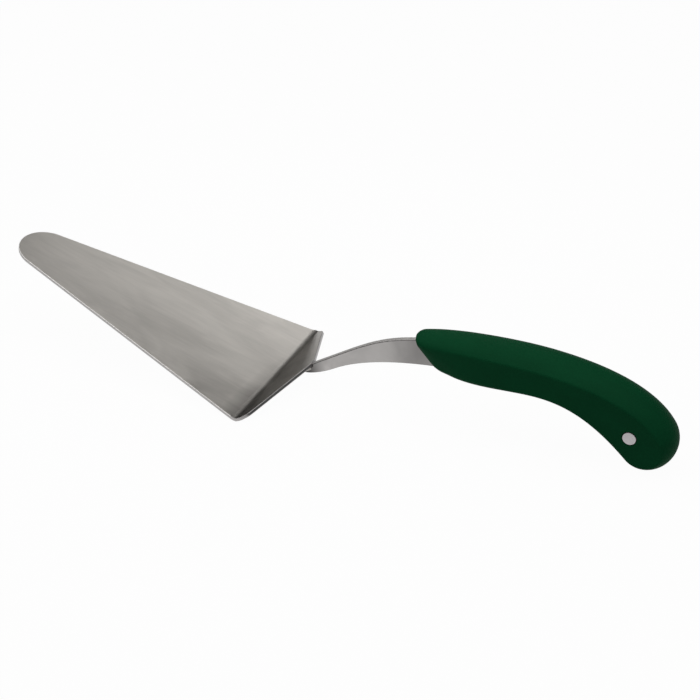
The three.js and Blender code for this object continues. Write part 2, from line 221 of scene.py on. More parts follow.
class WeldSizes(bpy.types.PropertyGroup):
    """Sizes of the fillets behind the flange."""

    leg: length("Leg", 1.4, "Leg of the fillet")
    toe_gap: length("Toe gap", 1.7, "From the bar's toe to the fillet")
    neck_gap: length("Neck gap", 0.7, "From the fillet to the neck")
    ripple: share("Ripple", 0.07, "Depth of the ripples, as a share of the leg")
    pitch: length("Pitch", 0.85, "Distance between two ripples")
    throat: share("Throat", 0.72, "Thickness across the fillet's middle, as a share of the leg")
    blunt: share("Blunt end", 0.15, "Thickness left at the fillet's ends, as a share of the leg")


class GripSizes(bpy.types.PropertyGroup):
    """Sizes of the soft grip."""

    shank_reach: length("Shank reach", 38.2, "From the neck to the grip's start, along the blade")
    shank_rise: length("Shank rise", 42.0, "From the neck to the grip's start, off the blade")
    back_slope: angle("Back slope", 29.5, "Slope of the back at the grip's start")
    back_start_pull: length("Back start pull", 24, "Pull of the back at the grip's start")
    back_end_pull: length("Back end pull", 37.5, "Pull of the back at the round end")
    back_end_angle: angle("Back end angle", 51.5, "Where the back meets the round end")
    belly_setback: length("Belly setback", 18.3, "From the start of the back to the belly's start, along")
    belly_drop: length("Belly drop", 10.4, "From the start of the back to the belly's start, down")
    belly_slope: angle("Belly slope", 7, "Slope of the belly at its start")
    belly_start_pull: length("Belly start pull", 38.2, "Pull of the belly at its start")
    belly_end_pull: length("Belly end pull", 47, "Pull of the belly at the round end")
    belly_end_angle: angle("Belly end angle", -117, "Where the belly meets the round end")
    lobe_reach: length("Lobe reach", 112, "From the grip's start to the round end's middle, along")
    lobe_rise: length("Lobe rise", 7.98, "From the grip's start to the round end's middle, up")
    lobe_radius: length("Lobe radius", 13.04, "Radius of the round end")
    width: length("Width", 22, "Width of the grip")
    nose_width: length("Nose width", 9, "Width of the grip where the bar goes in")
    nose_taper: length("Nose taper", 55, "Length over which the grip widens")
    crown: length("Crown", 4, "Depth of the crown over the flat sides")
    crown_span: angle("Crown span", 40, "Arc of the crown to each side, up to the ridge")
    nose_crown: length("Nose crown", 4.5, "Depth of the crown at the nose, which has no ridge")
    ridge_start: length("Ridge start", 8, "Where the ridge starts to show, from the grip's start")
    ridge_full: length("Ridge full", 50, "Where the ridge is full, from the grip's start")
    ridge_round: length("Ridge rounding", 0.7, "Rounding of the ridge")
    nose_round: length("Nose rounding", 4.2, "Rounding of the nose at its top")
    nose_under_round: length("Nose under rounding", 2.2, "Rounding of the nose at its lower end")
    nose_side_round: length("Nose side rounding", 1, "Rounding of the nose at its sides")
    slot_gap: length("Slot gap", 0.25, "Gap round the bar where it goes in")
    slot_depth: length("Slot depth", 8, "Depth of the opening round the bar")
    hole_round: length("Hole rounding", 0.2, "Rounding of the holes for the rivet's heads")
    hole_depth: length("Hole depth", 2, "Depth of the holes for the rivet's heads")
    hole_margin: length("Hole margin", 0.8, "Plain ring left round the holes for the rivet's heads")


class RivetSizes(bpy.types.PropertyGroup):
    """Sizes of the rivet in the grip's round end."""

    setback: length("Setback", 7.4, "From the round end's middle to the rivet")
    slope: angle("Slope", -22, "Slope of the tang at the rivet")
    tube: length("Tube", 5, "Diameter of the rivet's tube")
    tube_wall: length("Tube wall", 0.7, "Wall of the rivet's tube")
    lip: length("Lip", 0.5, "How far the head stands out round the tube")
    head: length("Head", 2.2, "Thickness of the head")
    overlap: length("Overlap", 9, "Length over which pin and tube overlap")
    gap: length("Gap", 0.3, "Clearance round the pin and the head")
    edge_round: length("Edge rounding", 0.18, "Rounding of the head's edge")


class Finishes(bpy.types.PropertyGroup):
    """Colours and roughness of the finishes, with a painted highlight on the blade's rim corner and painted
    shade at the fold, the bar's toe and the grip's nose.
    """

    blade: tint("Blade", (0.52, 0.498, 0.465), "Satin steel of the blade")
    rim: tint("Rim", (0.42, 0.405, 0.40), "Ground edges of the blade")
    # Painted highlight: a much lighter colour on the upper corner of the blade's edges, where light catches
    # it
    rim_corner_highlight: tint("Rim corner", (0.85, 0.83, 0.80), "Bright upper corner of the blade's edges")
    bar: tint("Bar", (0.44, 0.425, 0.415), "Satin steel of the bar")
    bar_edge: tint("Bar edge", (0.56, 0.545, 0.53), "Sheared edges of the bar")
    bar_corner: tint("Bar corner", (0.15, 0.14, 0.14), "Dark line along the bar's corners")
    weld: tint("Weld", (0.40, 0.387, 0.375), "Weld metal")
    weld_heat: tint("Heat tint", (0.31, 0.285, 0.255), "Heat tint on the weld")
    rivet: tint("Rivet", (0.45, 0.427, 0.435), "Turned steel of the rivet's heads")
    grip: tint("Grip", (0.0036, 0.056, 0.0205), "Soft grip")
    core: tint("Core", (0.012, 0.024, 0.018), "Hard core under the soft grip")
    blade_rough: share("Blade roughness", 0.345, "Roughness of the blade's satin")
    rim_rough: share("Rim roughness", 0.38, "Roughness of the blade's edges")
    bar_rough: share("Bar roughness", 0.4, "Roughness of the bar's satin")
    bar_edge_rough: share("Bar edge roughness", 0.62, "Roughness of the bar's sheared edges")
    bar_corner_rough: share("Bar corner roughness", 0.5, "Roughness of the line along the bar's corners")
    # The last four set painted shade: darker patches in the steel's colour at the fold's near end, at the
    # bar's toe and where the bar goes into the grip
    fold_shade_past: length("Fold patch", 2.5, "How far past the fold line the duller patch has its middle")
    fold_shade_tone: share("Fold tone", 0.33, "Share of its colour that the blade keeps at the fold's near end")
    toe_shade_tone: share("Toe tone", 0.15, "Share of its colour that the bar keeps at its toe")
    nose_shade_tone: share("Nose tone", 0.5, "Share of its colour that the bar keeps at the grip")


class StageSettings(bpy.types.PropertyGroup):
    """Camera, floor and light."""

    azimuth: angle("Azimuth", 24.41, "Camera's place round the server")
    elevation: angle("Elevation", 31.282, "Camera's place above the table")
    roll: angle("Roll", -0.352, "Camera's tilt to the side")
    distance: length("Distance", 820, "From the camera to its aim")
    aim: metres("Aim", (0.00602, 0.00731, 0.01798), "Point that the camera looks at")
    lens: FloatProperty(name="Lens", description="Focal length of the lens", default=92.571, unit="CAMERA")
    floor: tint("Floor", (0.7, 0.7, 0.7), "Colour of the floor under the light")
    floor_radius: length("Floor radius", 9000, "Radius of the floor")
    floor_white: share("Floor white", 0.97, "How much of the floor's plain white the camera sees")
    room: tint("Room", (0.03, 0.03, 0.03), "Light of the room around")
    light_aim: metres("Light aim", (0, 0, 0.02), "Point that the key and the fill face")
    key_place: metres("Key place", (-0.43, -0.17, 0.79), "Place of the soft light on the left")
    key_size: metres("Key size", (1.1, 0.9), "Width and height of the soft light on the left")
    key_power: power("Key", 5.0, "Power of the soft light on the left")
    fill_place: metres("Fill place", (0.32, 0.08, 0.86), "Place of the soft light overhead")
    fill_size: metres("Fill size", (0.9, 0.7), "Width and height of the soft light overhead")
    fill_power: power("Fill", 3.6, "Power of the soft light overhead")
    low_place: metres("Low back place", (-0.02, 0.26, 0.165), "Place of the small light behind the fold")
    low_size: metres("Low back size", (0.12, 0.07), "Width and height of the small light")
    low_power: power("Low back", 0.046, "Power of the small light behind the fold")
    high_place: metres("High back place", (-0.11, 0.26, 0.222), "Place of the strip light behind the blade")
    high_size: metres("High back size", (0.28, 0.075), "Width and height of the strip light")
    high_power: power("High back", 0.105, "Power of the strip light behind the blade")
    high_roll: angle("High roll", 31, "Turn of the strip light in its own plane")


class Server(bpy.types.PropertyGroup):
    """Everything that the sidebar offers."""

    blade: PointerProperty(type=BladeSizes)
    bar: PointerProperty(type=BarSizes)
    weld: PointerProperty(type=WeldSizes)
    grip: PointerProperty(type=GripSizes)
    rivet: PointerProperty(type=RivetSizes)
    finishes: PointerProperty(type=Finishes)
    stage: PointerProperty(type=StageSettings)


def blade_place():
    """Turn of the blade at rest, and the matrix from the blade's frame to the row frame.

    In the blade's frame the fold line is at the origin, the serving face at Z 0 and the grip at +X.
    """
    face = next(mount for mount in frame["record"]["mounts"] if mount["name"] == "serving_face")
    tilt = math.atan2(face["axis"][0], face["axis"][2])
    to_face = Matrix.Translation((FACE_POINT_SETBACK, 0, 0))
    return tilt, Matrix.Translation(face["pos_m"]) @ Matrix.Rotation(tilt, 4, "Y") @ to_face


TILT, TO_ROW = blade_place()


def side_view(x, z):
    """A point or direction in the middle plane."""
    return Vector((x, 0, z))


def sideways(distance):
    """A step to the left of the middle plane."""
    return Vector((0, distance, 0))


def heading(turn):
    """Unit vector at an angle in the side view."""
    return side_view(math.cos(turn), math.sin(turn))


def left_of(direction):
    """Left-hand normal of a direction in the side view."""
    return side_view(-direction.z, direction.x)


def blend(low, high, part):
    """A value between two others."""
    return low + (high - low) * part


def ease(part):
    """Smooth growth from 0 to 1."""
    part = min(max(part, 0), 1)
    return part * part * (3 - 2 * part)


def swell(part):
    """Quarter-round growth from 0 to 1."""
    return math.sqrt(1 - (1 - min(max(part, 0), 1)) ** 2)


class Rail:
    """A smooth edge of the side view, measured along its length."""

    def __init__(self, start, start_direction, start_pull, end, end_direction, end_pull):
        leave = start + start_direction * start_pull
        arrive = end - end_direction * end_pull
        self.points = interpolate_bezier(start, leave, arrive, end, RAIL_STEPS)
        self.marks = [0.0]
        for before, after in zip(self.points, self.points[1:]):
            self.marks.append(self.marks[-1] + (after - before).length)

    @property
    def length(self):
        return self.marks[-1]

    def at(self, part):
        """The point at a share of the length."""
        goal = min(max(part, 0), 1) * self.length
        after = min(bisect.bisect_right(self.marks, goal), len(self.marks) - 1)
        before = after - 1
        rest = (goal - self.marks[before]) / (self.marks[after] - self.marks[before])
        return self.points[before].lerp(self.points[after], rest)

    def along(self, part):
        """The direction at a share of the length."""
        step = 1 / RAIL_STEPS
        return (self.at(part + step) - self.at(part - step)).normalized()


def lay_out(server):
    """Points and edges of the side view that several pieces share, in the blade's frame."""
    blade, grip = server.blade, server.grip
    plan = SimpleNamespace()
    plan.up = heading(blade.flange_angle)
    plan.off = left_of(plan.up)
    plan.on_flange = lambda up, off: plan.up * up + plan.off * off
    plan.bend = side_view(-blade.bend_radius * math.tan(blade.flange_angle / 2), blade.bend_radius)
    plan.toe_height = blade.flange_height - server.bar.toe_lap
    neck = plan.on_flange(blade.flange_height, 0)
    plan.grip_start = neck + side_view(grip.shank_reach, grip.shank_rise)
    plan.belly_start = plan.grip_start + side_view(grip.belly_setback, -grip.belly_drop)
    plan.lobe = plan.grip_start + side_view(grip.lobe_reach, grip.lobe_rise)
    plan.lobe_at = lambda turn: plan.lobe + heading(turn) * grip.lobe_radius
    plan.back = Rail(
        plan.grip_start, heading(grip.back_slope), grip.back_start_pull,
        plan.lobe_at(grip.back_end_angle), -left_of(heading(grip.back_end_angle)), grip.back_end_pull,
    )
    plan.belly = Rail(
        plan.belly_start, heading(grip.belly_slope), grip.belly_start_pull,
        plan.lobe_at(grip.belly_end_angle), left_of(heading(grip.belly_end_angle)), grip.belly_end_pull,
    )
    plan.body_length = (plan.back.length + plan.belly.length) / 2
    plan.grip_middle = lambda distance: plan.back.at(distance / plan.body_length).lerp(
        plan.belly.at(distance / plan.body_length), 0.5
    )
    plan.tang_end = heading(server.rivet.slope)
    plan.rivet = plan.lobe - plan.tang_end * server.rivet.setback
    return plan


def bar_edges(server, plan):
    """The bar's outline: places, each with the places that its curve pulls to before and after it."""
    blade, bar = server.blade, server.bar
    tang = plan.grip_middle(bar.tang_start)
    along = (plan.grip_middle(bar.tang_start + MM) - plan.grip_middle(bar.tang_start - MM)).normalized()
    tang_up = left_of(along) * (bar.tang_height / 2)
    under, top = tang - tang_up, tang + tang_up
    on, up = plan.tang_end, left_of(plan.tang_end)
    eye = server.rivet.tube / 2 + bar.gap + bar.eye_wall
    eye_under, eye_end, eye_top = plan.rivet - up * eye, plan.rivet + on * eye, plan.rivet + up * eye
    quarter = QUARTER_PULL * eye
    under_sheet = -blade.sheet - bar.gap
    toe = plan.on_flange(plan.toe_height, under_sheet)
    heel = plan.on_flange(blade.flange_height + bar.heel_setback, -bar.drop - bar.shank_depth)
    shank_top = plan.on_flange(blade.flange_height + bar.gap, -bar.drop)
    notch = plan.on_flange(blade.flange_height + bar.gap, under_sheet)
    return [
        (toe, None, toe + side_view(bar.toe_start_pull, 0)),
        (heel, heel - plan.up * bar.toe_end_pull, heel + plan.up * bar.under_start_pull),
        (under, under - along * bar.under_end_pull, under + along * bar.tang_pull),
        (eye_under, eye_under - on * bar.tang_pull, eye_under + on * quarter),
        (eye_end, eye_end - up * quarter, eye_end + up * quarter),
        (eye_top, eye_top + on * quarter, eye_top - on * bar.tang_pull),
        (top, top + along * bar.tang_pull, top - along * bar.top_end_pull),
        (shank_top, shank_top + plan.up * bar.top_start_pull, None),
        (notch, None, None),
    ]


def round_hole(centre, radius):
    """A hole's outline, drawn the other way round from the bar's."""
    outline = []
    for step in range(4):
        out = heading(-step * math.pi / 2)
        on = left_of(out) * (-QUARTER_PULL * radius)
        place = centre + out * radius
        outline.append((place, place - on, place + on))
    return outline


def plate_solid(name, outlines, thickness, edge_round):
    """A plate cut along closed outlines of the side view, with rounded edges."""
    curve = bpy.data.curves.new(name, "CURVE")
    curve.dimensions = "2D"
    curve.fill_mode = "BOTH"
    curve.resolution_u = OUTLINE_STEPS
    curve.extrude = thickness / 2 - edge_round
    curve.bevel_depth = edge_round
    curve.bevel_resolution = EDGE_STEPS
    curve.offset = -edge_round
    for outline in outlines:
        spline = curve.splines.new("BEZIER")
        spline.bezier_points.add(len(outline) - 1)
        spline.use_cyclic_u = True
        for point, (place, before, after) in zip(spline.bezier_points, outline):
            point.handle_left_type = "FREE" if before else "VECTOR"
            point.handle_right_type = "FREE" if after else "VECTOR"
            point.co = (place.x, place.z, 0)
            if before:
                point.handle_left = (before.x, before.z, 0)
            if after:
                point.handle_right = (after.x, after.z, 0)
    holder = bpy.data.objects.new(name, curve)
    bpy.context.scene.collection.objects.link(holder)
    flat = holder.evaluated_get(bpy.context.evaluated_depsgraph_get())
    mesh = bpy.data.meshes.new_from_object(flat)
    bpy.data.objects.remove(holder)
    bpy.data.curves.remove(curve)
    bm = bmesh.new()
    bm.from_mesh(mesh)
    bpy.data.meshes.remove(mesh)
    bmesh.ops.remove_doubles(bm, verts=bm.verts, dist=SAME_PLACE)
    bmesh.ops.rotate(bm, verts=bm.verts, cent=(0, 0, 0), matrix=Matrix.Rotation(math.pi / 2, 3, "X"))
    bmesh.ops.recalc_face_normals(bm, faces=bm.faces)
    return bm


def new_corners(made):
    """The corners among what an operator has made."""
    return [item for item in made if isinstance(item, bmesh.types.BMVert)]


def on_side(item, outside):
    """Whether a face or an edge lies in the flat side at this distance from the middle plane."""
    return all(abs(vert.co.y - outside) < SAME_PLACE for vert in item.verts)


def round_off(bm, geom, radius, steps, affect="EDGES"):
    """Rounds edges, or the corners of a sheet, by a radius."""
    bmesh.ops.bevel(
        bm, geom=geom, offset=radius, offset_type="OFFSET", segments=steps, profile=0.5, affect=affect,
        material=-1,
    )


def wide_strip(blade, plan, start):
    """A strip wider than the blade, from the start of the round tip over the bend to the neck."""
    bm = bmesh.new()
    front = bm.verts.new((start, -blade.width, 0))
    fold = bm.verts.new((plan.bend.x, -blade.width, 0))
    bm.edges.new((front, fold))
    turned = bmesh.ops.spin(
        bm, geom=[fold], cent=plan.bend, axis=(0, -1, 0), angle=blade.flange_angle, steps=BEND_STEPS,
        use_merge=False,
    )
    raised = bmesh.ops.extrude_vert_indiv(bm, verts=new_corners(turned["geom_last"]))["verts"]
    bmesh.ops.translate(bm, verts=raised, vec=plan.up * (blade.flange_height + plan.bend.x))
    widened = bmesh.ops.extrude_edge_only(bm, edges=bm.edges[:])["geom"]
    bmesh.ops.translate(bm, verts=new_corners(widened), vec=sideways(2 * blade.width))
    return bm


def shoulder_at(blade, plan, hand):
    """The flange's shoulder, hand 1 on the left and -1 on the right."""
    return plan.up * blade.shoulder_height + sideways(hand * (blade.width / 2 - blade.shoulder_inset))


def trim_sides(bm, blade, plan, taper):
    """Cuts the strip along the blade's sides, up to the shoulders and on to the neck."""
    rise = blade.flange_height - blade.shoulder_height
    run = blade.width / 2 - blade.shoulder_inset - blade.neck_width / 2
    for hand in HANDS:
        across = sideways(hand)
        fold_end = across * (blade.width / 2)
        cuts = [
            (fold_end, across * math.cos(taper) - side_view(math.sin(taper), 0)),
            (fold_end, plan.up * blade.shoulder_inset + across * blade.shoulder_height),
            (shoulder_at(blade, plan, hand), plan.up * run + across * rise),
        ]
        for place, outward in cuts:
            everything = bm.verts[:] + bm.edges[:] + bm.faces[:]
            bmesh.ops.bisect_plane(
                bm, geom=everything, dist=SAME_PLACE, plane_co=place, plane_no=outward, clear_outer=True
            )


def add_tip(bm, start, centre, sweep):
    """The round tip, swept from one end of the strip's front edge to the other and joined to it."""
    front = [vert for vert in bm.verts if abs(vert.co.x - start) < SAME_PLACE]
    right, left = sorted(front, key=lambda vert: vert.co.y)
    base = bm.edges.get((right, left))
    rest = set(bm.edges)
    swept = bmesh.ops.spin(
        bm, geom=[right], cent=centre, axis=(0, 0, -1), angle=sweep, steps=TIP_STEPS, use_merge=False
    )
    bmesh.ops.weld_verts(bm, targetmap={swept["geom_last"][0]: left})
    arc = [edge for edge in bm.edges if edge not in rest]
    bmesh.ops.contextual_create(bm, geom=arc + [base])
    bmesh.ops.dissolve_edges(bm, edges=[base], use_verts=False, use_face_split=False)


def blade_sheet(blade, plan):
    """The blade's serving face, from the tip over the bend to the neck, as an open surface."""
    half = blade.width / 2
    tip = blade.tip_radius - blade.reach
    taper = math.atan2(half, -tip) - math.asin(blade.tip_radius / math.hypot(tip, half))
    start = tip - blade.tip_radius * math.sin(taper)
    bm = wide_strip(blade, plan, start)
    trim_sides(bm, blade, plan, taper)
    add_tip(bm, start, side_view(tip, 0), math.pi - 2 * taper)
    shoulders = []
    for hand in HANDS:
        place = shoulder_at(blade, plan, hand)
        shoulders.append(min(bm.verts, key=lambda vert: (vert.co - place).length))
    round_off(bm, shoulders, blade.shoulder_radius, CORNER_STEPS, affect="VERTICES")
    bmesh.ops.recalc_face_normals(bm, faces=bm.faces)
    if sum(face.normal.z for face in bm.faces) < 0:
        bmesh.ops.reverse_faces(bm, faces=bm.faces)
    return bm


def blade_solid(blade, plan):
    """The blade at its full thickness, with material 1 on its rim and 2, a painted highlight, on the flat's
    upper corner.
    """
    bm = blade_sheet(blade, plan)
    bmesh.ops.solidify(bm, geom=bm.faces[:], thickness=blade.sheet)
    bmesh.ops.recalc_face_normals(bm, faces=bm.faces)
    rim = [edge for edge in bm.edges if edge.calc_face_angle(0) > SHARP]
    round_off(bm, rim, blade.rim_round, EDGE_STEPS)
    bm.normal_update()
    for face in bm.faces:
        longest = max(edge.calc_length() for edge in face.edges)
        if abs(face.normal.y) > RIM_LEAN or longest < 2 * blade.neck_width:
            # The upper corner of the rim gets the lighter finish: a painted highlight
            painted_highlight = face.normal.z > CORNER_LIFT and face.calc_center_median().x < plan.bend.x
            face.material_index = 2 if painted_highlight else 1
    return bm


def to_mesh(bm, name):
    """Moves a shape from the blade's frame to its place and makes it a mesh."""
    bmesh.ops.transform(bm, matrix=TO_ROW, space=Matrix(), verts=bm.verts)
    mesh = bpy.data.meshes.new(name)
    bm.to_mesh(mesh)
    bm.free()
    mesh.shade_smooth()
    return mesh


def add_piece(name, bm, materials, slot, *nodes):
    """Puts a finished shape into the scene as a piece that rides on the server and stands for CAD nodes."""
    mesh = to_mesh(bm, name)
    for material in materials:
        mesh.materials.append(material)
    piece = bpy.data.objects.new(name, mesh)
    bpy.context.scene.collection.objects.link(piece)
    even = piece.modifiers.new("Even shading", "WEIGHTED_NORMAL")
    even.weight = 100
    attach(piece, BODY)
    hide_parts(*nodes)
    return piece


def closed_ring(top, bottom):
    """A ring from an upper and a lower row of places and their distances from the middle plane.

    Both rows run from the middle plane to the side, where a flat stretch joins them.
    """
    (high, half_width), (low, _) = top[-1], bottom[-1]
    flat = [(high.lerp(low, step / SIDE_STEPS), half_width) for step in range(1, SIDE_STEPS)]
    half = top + flat + bottom[::-1]
    left = [place + sideways(out) for place, out in half]
    right = [place - sideways(out) for place, out in half[-2:0:-1]]
    return left + right


def grip_ring(station):
    """One cross-section of the grip: a crown above and below, and flat sides between their ridges."""
    turns = [station.span * step / CROWN_STEPS for step in range(CROWN_STEPS + 1)]
    top, bottom = [], []
    for turn in turns:
        depth = station.crown * (1 - math.cos(turn)) / (1 - math.cos(station.span))
        out = station.half_width * math.sin(turn) / math.sin(station.span)
        top.append((station.top + station.top_in * depth, out))
        bottom.append((station.bottom + station.bottom_in * depth, out))
    return closed_ring(top, bottom)


def slot_ring(half_width, high, low):
    """The opening round the bar, with a corner for each corner of a cross-section."""
    across = [half_width * step / CROWN_STEPS for step in range(CROWN_STEPS + 1)]
    return closed_ring([(high, out) for out in across], [(low, out) for out in across])


def body_station(grip, plan, distance, nose):
    """The grip's cross-section at a distance from its start, drawn in by a share of the nose's rounding."""
    part = distance / plan.body_length
    top, bottom = plan.back.at(part), plan.belly.at(part)
    chord = (top - bottom).normalized()
    slant = 1 - ease(distance / grip.ridge_start)
    sharp = ease((distance - grip.ridge_start) / (grip.ridge_full - grip.ridge_start))
    wide = blend(grip.nose_width / 2, grip.width / 2, swell(distance / grip.nose_taper))
    top = top - chord * (nose * grip.nose_round)
    bottom = bottom + chord * (nose * grip.nose_under_round)
    return SimpleNamespace(
        top=top,
        bottom=bottom,
        top_in=(-left_of(plan.back.along(part))).lerp(-chord, slant).normalized(),
        bottom_in=left_of(plan.belly.along(part)).lerp(chord, slant).normalized(),
        half_width=wide - nose * grip.nose_side_round,
        crown=min(blend(grip.nose_crown, grip.crown, sharp), CROWN_LIMIT * (top - bottom).length),
        span=blend(math.pi / 2, grip.crown_span, sharp),
    )


def lobe_station(grip, plan, part):
    """The grip's cross-section at a share of the way round its end."""
    middle = (grip.back_end_angle + grip.belly_end_angle) / 2
    top_turn = blend(grip.back_end_angle, middle, part)
    bottom_turn = blend(grip.belly_end_angle, middle, part)
    return SimpleNamespace(
        top=plan.lobe_at(top_turn),
        bottom=plan.lobe_at(bottom_turn),
        top_in=-heading(top_turn),
        bottom_in=-heading(bottom_turn),
        half_width=grip.width / 2,
        crown=grip.crown,
        span=grip.crown_span,
    )


def grip_stations(grip, plan):
    """The grip's cross-sections from its nose to its round end."""
    stations = []
    for step in range(NOSE_STEPS):
        turn = math.pi / 2 * step / NOSE_STEPS
        stations.append(body_station(grip, plan, grip.nose_round * (1 - math.cos(turn)), 1 - math.sin(turn)))
    for step in range(BODY_STEPS + 1):
        distance = blend(grip.nose_round, plan.body_length, step / BODY_STEPS)
        stations.append(body_station(grip, plan, distance, 0))
    for step in range(1, LOBE_STEPS + 1):
        stations.append(lobe_station(grip, plan, step / LOBE_STEPS))
    return stations


def extrude_ring(bm, ring, places):
    """Extrudes a closed ring of corners and puts the new ring in its place."""
    edges = [bm.edges.get(pair) for pair in zip(ring, ring[1:] + ring[:1])]
    fresh = set(new_corners(bmesh.ops.extrude_edge_only(bm, edges=edges)["geom"]))
    new_ring = []
    for vert, place in zip(ring, places):
        partners = [edge.other_vert(vert) for edge in vert.link_edges]
        partner = next(corner for corner in partners if corner in fresh)
        partner.co = place
        new_ring.append(partner)
    return new_ring


def first_ring(bm, places):
    """A closed ring of corners to extrude from."""
    ring = bmesh.ops.create_circle(bm, cap_ends=False, segments=len(places), radius=1)["verts"]
    for vert, place in zip(ring, places):
        vert.co = place
    return ring


def crossing(start, end, place, normal):
    """Where the outline's curve between two of its places crosses a plane."""
    points = interpolate_bezier(start[0], start[2], end[1], end[0], RAIL_STEPS)
    for before, after in zip(points, points[1:]):
        near_side, far_side = (before - place).dot(normal), (after - place).dot(normal)
        if near_side * far_side <= 0 and near_side != far_side:
            return before.lerp(after, near_side / (near_side - far_side))
    raise ValueError("The bar's edge doesn't cross the grip's nose")


def open_nose(bm, nose, server, plan):
    """The opening in the grip's nose that the bar goes into."""
    grip = server.grip
    edges = bar_edges(server, plan)
    chord = (plan.grip_start - plan.belly_start).normalized()
    normal = left_of(chord)
    inward = -normal if normal.x < 0 else normal
    half_width = server.bar.thickness / 2 + grip.slot_gap
    gap = chord * grip.slot_gap
    ring = nose
    for depth in (0, grip.slot_depth):
        place = plan.belly_start + inward * depth
        high = crossing(edges[TANG_TOP], edges[SHANK_TOP], place, normal) + gap
        low = crossing(edges[HEEL], edges[TANG_UNDER], place, normal) - gap
        ring = extrude_ring(bm, ring, slot_ring(half_width, high, low))
    bmesh.ops.contextual_create(bm, geom=ring)


def join_flats(bm, grip, plan):
    """Makes each flat side one face in the round end, so that the ridge can be rounded right round it."""
    onward = heading((grip.back_end_angle + grip.belly_end_angle) / 2)
    start = plan.lobe + heading(grip.back_end_angle) * (grip.lobe_radius - grip.crown)
    for hand in HANDS:
        flat = []
        for face in bm.faces:
            beyond = all((vert.co - start).dot(onward) > -SAME_PLACE for vert in face.verts)
            if beyond and on_side(face, hand * grip.width / 2):
                flat.append(face)
        bmesh.ops.dissolve_faces(bm, faces=flat)


def sink_hole(bm, server, plan, hand):
    """The hole for a rivet's head in one flat side of the grip."""
    grip, rivet = server.grip, server.rivet
    radius = rivet.tube / 2 + rivet.lip + rivet.gap
    outside = plan.rivet + sideways(hand * grip.width / 2)
    covers = []
    for face in bm.faces:
        closest = min((vert.co - outside).length for vert in face.verts)
        if closest < radius + grip.hole_margin and on_side(face, outside.y):
            covers.append(face)
    bmesh.ops.delete(bm, geom=covers, context="FACES")
    rim = [edge for edge in bm.edges if edge.is_boundary]
    # The two loops are bridged a little apart, because loops in one plane can be joined crosswise
    apart = sideways(hand * radius)
    place = Matrix.Translation(outside + apart) @ Matrix.Rotation(-hand * math.pi / 2, 4, "X")
    circle = bmesh.ops.create_circle(bm, cap_ends=False, segments=ROUND_STEPS, radius=radius, matrix=place)
    ring = set(circle["verts"])
    mouth = [edge for edge in bm.edges if ring.issuperset(edge.verts)]
    bmesh.ops.bridge_loops(bm, edges=rim + mouth)
    bmesh.ops.translate(bm, verts=circle["verts"], vec=-apart)
    floor = new_corners(bmesh.ops.extrude_edge_only(bm, edges=mouth)["geom"])
    bmesh.ops.translate(bm, verts=floor, vec=sideways(-hand * grip.hole_depth))
    bmesh.ops.contextual_create(bm, geom=floor)
    round_off(bm, mouth, grip.hole_round, HOLE_STEPS)


def grip_solid(server, plan):
    """The soft grip, with its opening for the bar and the two holes for the rivet's heads."""
    grip = server.grip
    rings = [grip_ring(station) for station in grip_stations(grip, plan)]
    bm = bmesh.new()
    ring = nose = first_ring(bm, rings[0])
    ridges = []
    for places in rings[1:]:
        before, ring = ring, extrude_ring(bm, ring, places)
        ridges += [bm.edges.get((before[corner], ring[corner])) for corner in RIDGE_CORNERS]
    open_nose(bm, nose, server, plan)

    # The two halves of the last ring meet on the end of the grip
    bmesh.ops.remove_doubles(bm, verts=bm.verts, dist=SAME_PLACE)
    bmesh.ops.recalc_face_normals(bm, faces=bm.faces)
    join_flats(bm, grip, plan)
    round_off(bm, [edge for edge in ridges if edge.is_valid], grip.ridge_round, RIDGE_STEPS)
    for hand in HANDS:
        sink_hole(bm, server, plan, hand)
    bmesh.ops.recalc_face_normals(bm, faces=bm.faces)
    return bm


def weld_solid(server, plan, hand):
    """One rippled fillet along the bar behind the flange, hand 1 on the bar's left and -1 on its right."""
    blade, bar, weld = server.blade, server.bar, server.weld
    start = plan.toe_height + weld.toe_gap
    run = blade.flange_height - weld.neck_gap - start
    behind, aside = -plan.off, sideways(hand)
    corner = plan.on_flange(start, -blade.sheet - bar.gap) + aside * (bar.thickness / 2 + bar.gap)
    bm = bmesh.new()
    ring = None
    for step in range(WELD_STEPS + 1):
        part = step / WELD_STEPS
        end = max(swell(min(part, 1 - part) * run / weld.leg), weld.blunt)
        wave = 1 - weld.ripple * (1 + math.cos(2 * math.pi * part * run / weld.pitch)) / 2
        leg = weld.leg * end * wave
        base = corner + plan.up * (run * part)
        places = [base]
        for turn in range(WELD_ARC_STEPS + 1):
            slant = math.pi / 2 * turn / WELD_ARC_STEPS
            out = leg * blend(weld.throat, 1, abs(math.cos(2 * slant)))
            places.append(base + behind * (out * math.cos(slant)) + aside * (out * math.sin(slant)))
        if ring is None:
            ring = first_ring(bm, places)
            bmesh.ops.contextual_create(bm, geom=ring)
        else:
            ring = extrude_ring(bm, ring, places)
    bmesh.ops.contextual_create(bm, geom=ring)
    bmesh.ops.recalc_face_normals(bm, faces=bm.faces)
    return bm


